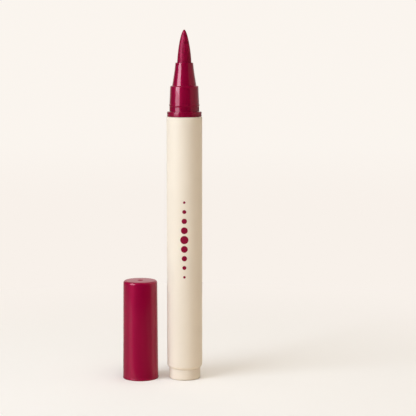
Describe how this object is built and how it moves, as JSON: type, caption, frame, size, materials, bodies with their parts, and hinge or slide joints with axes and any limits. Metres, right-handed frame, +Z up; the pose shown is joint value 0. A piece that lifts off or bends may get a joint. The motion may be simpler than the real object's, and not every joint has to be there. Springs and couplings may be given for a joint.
{
  "type": "nail polish pen",
  "caption": "Slim twist-feed nail polish pen with a pointed felt nib, a screw-driven piston, a click ratchet in the tail and a loose cap with a sprung sealing cup.",
  "frame": {"origin": "middle of the flat underside of the tail dial, on the floor", "axes": "+Z up along the pen from tail to nib; the cap stands on its mouth beside the pen at -X; -Y faces the viewer"},
  "size_m": [0.0284, 0.0126, 0.1238],
  "materials": {
    "barrel_cream": "fine satin cream",
    "dial_cream": "fine satin cream",
    "front_crimson": "glossy crimson",
    "cap_crimson": "glossy crimson",
    "nib_felt": "felt soaked with crimson polish",
    "joint_plastic": "natural moulded plastic",
    "tank_plastic": "milky moulded plastic",
    "nut_plastic": "dark moulded plastic",
    "drive_plastic": "grey moulded plastic",
    "pawl_plastic": "springy white moulded plastic",
    "rod_plastic": "light grey moulded plastic",
    "piston_plastic": "natural moulded plastic",
    "inner_cap_plastic": "natural moulded plastic",
    "seal_rubber": "black rubber",
    "steel": "bright stainless steel"
  },
  "bodies": {
    "barrel_body": {"barrel": "barrel_cream", "front_section": "front_crimson", "nib": "nib_felt", "feed_pipe": "steel", "pipe_joint": "joint_plastic", "front_seal": "seal_rubber", "polish_tank": "tank_plastic", "rod_nut": "nut_plastic", "ratchet_ring": "nut_plastic"},
    "dial_body": {"tail_dial": "dial_cream", "drive_sleeve": "drive_plastic", "click_pawls": "pawl_plastic"},
    "rod_body": {"screw_rod": "rod_plastic"},
    "piston_body": {"piston": "piston_plastic", "piston_seal": "seal_rubber"},
    "ball_a_body": {"mixing_ball_a": "steel"},
    "ball_b_body": {"mixing_ball_b": "steel"},
    "cap_body": {"cap_shell": "cap_crimson", "inner_cap_spring": "steel"},
    "inner_cap_body": {"inner_cap": "inner_cap_plastic"}
  },
  "joints": [
    {"name": "dial_turn", "type": "hinge", "parent": "barrel_body", "child": "dial_body", "pos_m": [0, 0, 0], "axis": [0, 0, 1], "range_deg": [0, 2520], "deforming": ["click_pawls"]},
    {"name": "rod_feed", "type": "slide", "parent": "dial_body", "child": "rod_body", "axis": [0, 0, 1], "range_m": [0, 0.028]},
    {"name": "piston_feed", "type": "slide", "parent": "barrel_body", "child": "piston_body", "axis": [0, 0, 1], "range_m": [0, 0.028]},
    {"name": "ball_a_rattle", "type": "slide", "parent": "piston_body", "child": "ball_a_body", "axis": [0, 0, 1], "range_m": [0, 0.003]},
    {"name": "ball_b_rattle", "type": "slide", "parent": "piston_body", "child": "ball_b_body", "axis": [0, 0, 1], "range_m": [0, 0.003]},
    {"name": "cap_lift", "type": "slide", "parent": "barrel_body", "child": "cap_body", "axis": [0, 0, 1], "range_m": [0, 0.13]},
    {"name": "inner_cap_press", "type": "slide", "parent": "cap_body", "child": "inner_cap_body", "axis": [0, 0, 1], "range_m": [0, 0.001], "stiffness_N_per_m": 200, "springref_m": -0.002, "deforming": ["inner_cap_spring"]}
  ],
  "couplings": [
    {"joint": "dial_turn", "follows": "rod_feed", "rad_per_m": 1570.8},
    {"joint": "piston_feed", "follows": "rod_feed", "ratio": 1}
  ]
}
